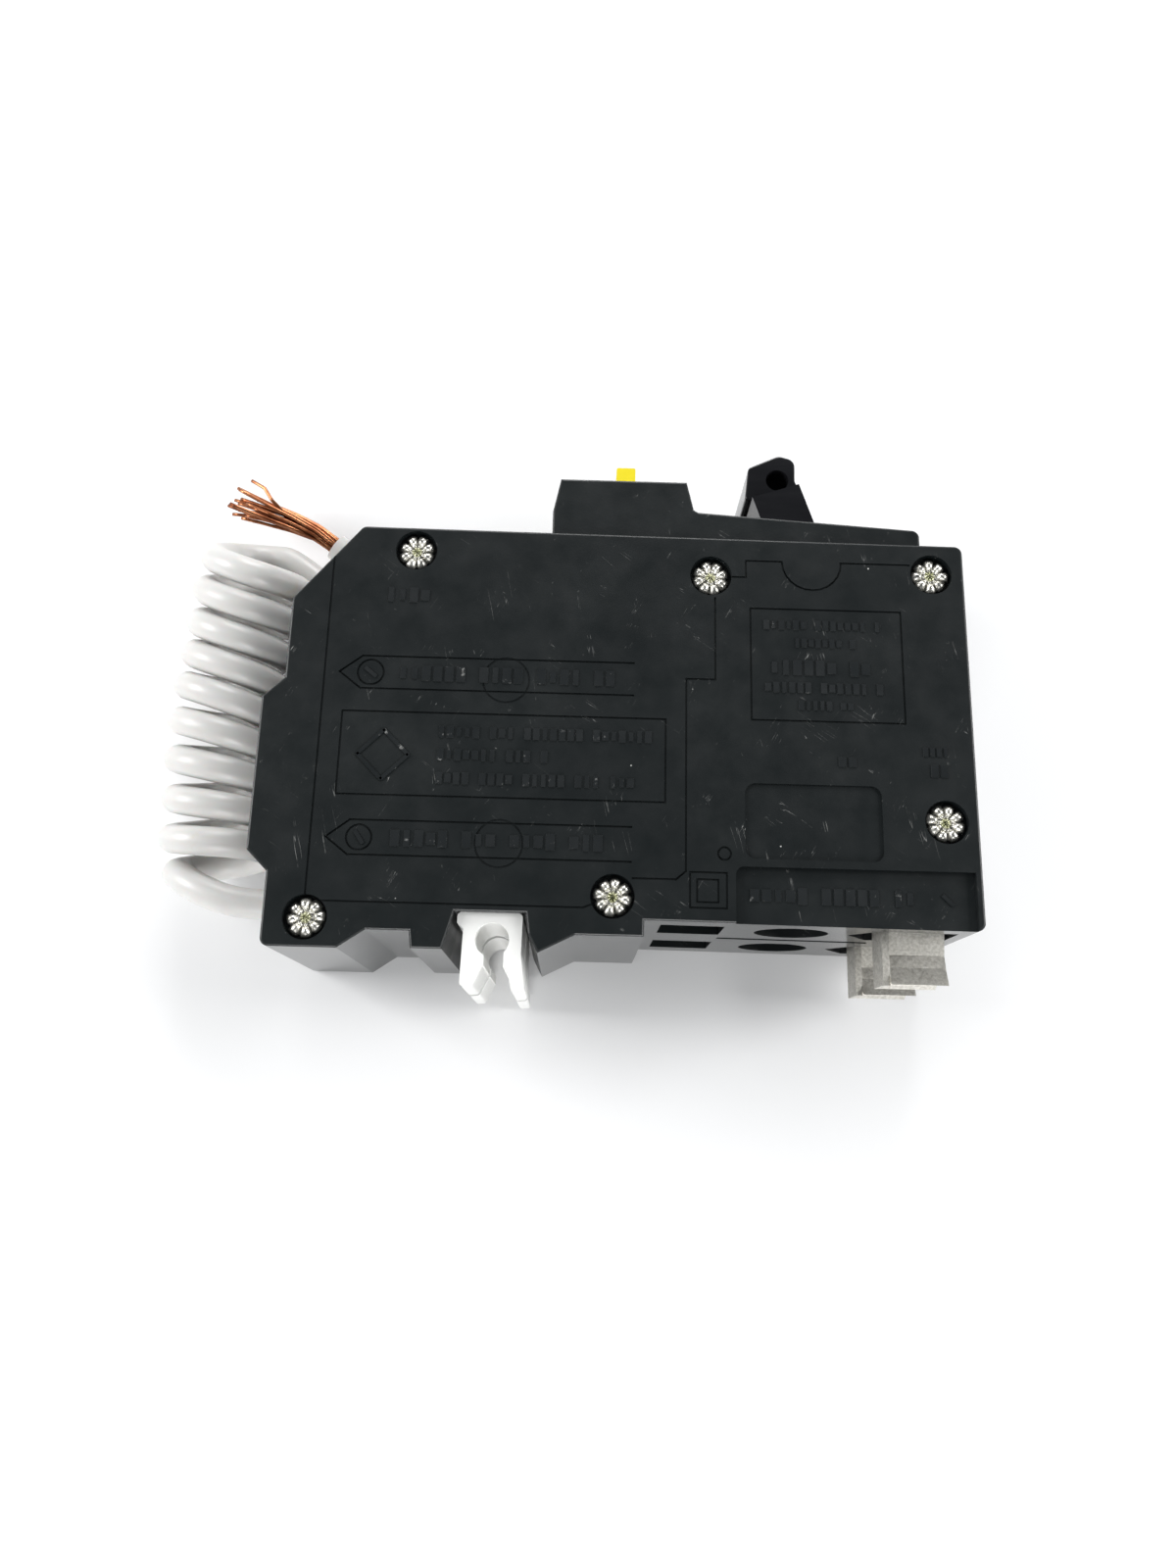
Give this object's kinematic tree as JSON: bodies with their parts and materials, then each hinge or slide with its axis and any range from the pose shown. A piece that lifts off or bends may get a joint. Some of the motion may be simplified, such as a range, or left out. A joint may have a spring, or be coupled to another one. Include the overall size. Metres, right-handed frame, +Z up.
{
  "type": "two-pole ground fault circuit breaker",
  "caption": "Plug-on circuit breaker for a panel: riveted black case with common handle, test button, spring jaws, rail clips, box lugs and a coiled white pigtail with a bare copper end.",
  "frame": {"origin": "middle of the footprint of the breaker without its pigtail, on the surface that its far side lies on", "axes": "+X to the line end with the plug-on jaws, +Y to the front with the handle, +Z up through the two poles to the marked side"},
  "size_m": [0.1252, 0.089, 0.0381],
  "materials": {
    "case_black": "moulded thermoset, faintly satin",
    "handle_black": "glossy black",
    "rivet_metal": "bright, set by hammering",
    "clip_nylon": "white nylon",
    "jaw_plating": "matte tin plating",
    "contact_silver": "silver alloy",
    "steel": "zinc plated",
    "copper": "bare copper",
    "bimetal": "rolled strip",
    "fibre": "pressed fibre",
    "board_green": "solder mask",
    "component_grey": "moulded",
    "toroid_tape": "taped winding",
    "winding": "enamelled copper wire",
    "bobbin_nylon": "natural nylon",
    "trip_plastic": "moulded",
    "lead_black": "wire covering",
    "button_yellow": "moulded yellow",
    "wire_white": "soft wire covering"
  },
  "bodies": {
    "case": {"near_cover": "case_black", "center_case": "case_black", "far_cover": "case_black", "case_rivets": "rivet_metal", "rail_clip_near": "clip_nylon", "rail_clip_far": "clip_nylon", "line_jaw_near": "jaw_plating", "line_jaw_far": "jaw_plating", "fixed_contact_near": "contact_silver", "fixed_contact_far": "contact_silver", "arc_chute_near": "steel", "arc_chute_far": "steel", "handle_pin": "steel", "arm_pin": "steel", "trip_pin": "steel", "cradle_pin": "steel", "magnet_yoke_near": "steel", "magnet_yoke_far": "steel", "bimetal_near": "bimetal", "bimetal_far": "bimetal", "calibration_screws": "steel", "solenoid_bobbin": "bobbin_nylon", "solenoid_coil": "winding", "solenoid_saddle": "bobbin_nylon", "load_bar_near": "copper", "load_bar_far": "copper", "load_bar_neutral": "copper", "sensing_toroid": "toroid_tape", "grounded_neutral_toroid": "toroid_tape", "circuit_board": "board_green", "board_components": "component_grey", "load_lead_near": "lead_black", "load_lead_far": "lead_black", "neutral_lead": "wire_white", "button_spring": "steel", "test_contact_holder": "bobbin_nylon", "test_leaf": "copper", "wire_grommet": "case_black", "pigtail_inner": "wire_white", "pigtail_lead": "wire_white", "pigtail_coil": "wire_white", "copper_end": "copper"},
    "handle": {"handle": "handle_black"},
    "contact_arms": {"contact_arm_near": "copper", "contact_arm_far": "copper", "moving_contact_near": "contact_silver", "moving_contact_far": "contact_silver"},
    "trip_bar": {"armature_near": "steel", "armature_far": "steel", "trip_bar": "trip_plastic"},
    "cradles": {"cradle_near": "steel", "cradle_far": "steel"},
    "plunger": {"solenoid_plunger": "steel"},
    "test_button": {"test_button": "button_yellow"},
    "lug_screw_near": {"lug_screw_near": "steel"},
    "lug_cage_near": {"lug_cage_near": "steel"},
    "lug_screw_far": {"lug_screw_far": "steel"},
    "lug_cage_far": {"lug_cage_far": "steel"},
    "lug_screw_neutral": {"lug_screw_neutral": "steel"},
    "lug_cage_neutral": {"lug_cage_neutral": "steel"}
  },
  "joints": [
    {"name": "handle_throw", "type": "hinge", "parent": "case", "child": "handle", "pos_m": [0.02905, 0.02208, 0.01905], "axis": [0, 0, 1], "range_deg": [-40, 0]},
    {"name": "arms_close", "type": "hinge", "parent": "case", "child": "contact_arms", "pos_m": [0.01625, -0.00282, 0.01905], "axis": [0, 0, 1], "range_deg": [-14, 0]},
    {"name": "trip_swing", "type": "hinge", "parent": "case", "child": "trip_bar", "pos_m": [0.00535, -0.02082, 0.01905], "axis": [0, 0, 1], "range_deg": [0, 4]},
    {"name": "cradle_drop", "type": "hinge", "parent": "case", "child": "cradles", "pos_m": [0.02125, 0.01058, 0.01905], "axis": [0, 0, 1], "range_deg": [0, 10]},
    {"name": "plunger_pull", "type": "slide", "parent": "case", "child": "plunger", "axis": [1, 0, 0], "range_m": [-0.00203, 0]},
    {"name": "button_press", "type": "slide", "parent": "case", "child": "test_button", "axis": [0, 1, 0], "range_m": [-0.0016, 0], "stiffness_N_per_m": 400, "springref_m": 0.0005},
    {"name": "screw_turn_near", "type": "hinge", "parent": "case", "child": "lug_screw_near", "pos_m": [-0.04075, 0.01768, 0.02857], "axis": [0, 1, 0], "range_deg": [-1800, 0]},
    {"name": "cage_rise_near", "type": "slide", "parent": "case", "child": "lug_cage_near", "axis": [0, 1, 0], "range_m": [0, 0.0045]},
    {"name": "screw_turn_far", "type": "hinge", "parent": "case", "child": "lug_screw_far", "pos_m": [-0.04075, 0.01768, 0.00953], "axis": [0, 1, 0], "range_deg": [-1800, 0]},
    {"name": "cage_rise_far", "type": "slide", "parent": "case", "child": "lug_cage_far", "axis": [0, 1, 0], "range_m": [0, 0.0045]},
    {"name": "screw_turn_neutral", "type": "hinge", "parent": "case", "child": "lug_screw_neutral", "pos_m": [-0.04075, -0.00432, 0.01905], "axis": [0, 1, 0], "range_deg": [-1800, 0]},
    {"name": "cage_rise_neutral", "type": "slide", "parent": "case", "child": "lug_cage_neutral", "axis": [0, 1, 0], "range_m": [0, 0.0045]}
  ],
  "couplings": [
    {"joint": "arms_close", "follows": "handle_throw", "ratio": 0.35},
    {"joint": "cradle_drop", "follows": "trip_swing", "ratio": 2.5},
    {"joint": "plunger_pull", "follows": "trip_swing", "m_per_rad": -0.029},
    {"joint": "screw_turn_near", "follows": "cage_rise_near", "rad_per_m": -6980.6},
    {"joint": "screw_turn_far", "follows": "cage_rise_far", "rad_per_m": -6980.6},
    {"joint": "screw_turn_neutral", "follows": "cage_rise_neutral", "rad_per_m": -6980.6}
  ]
}
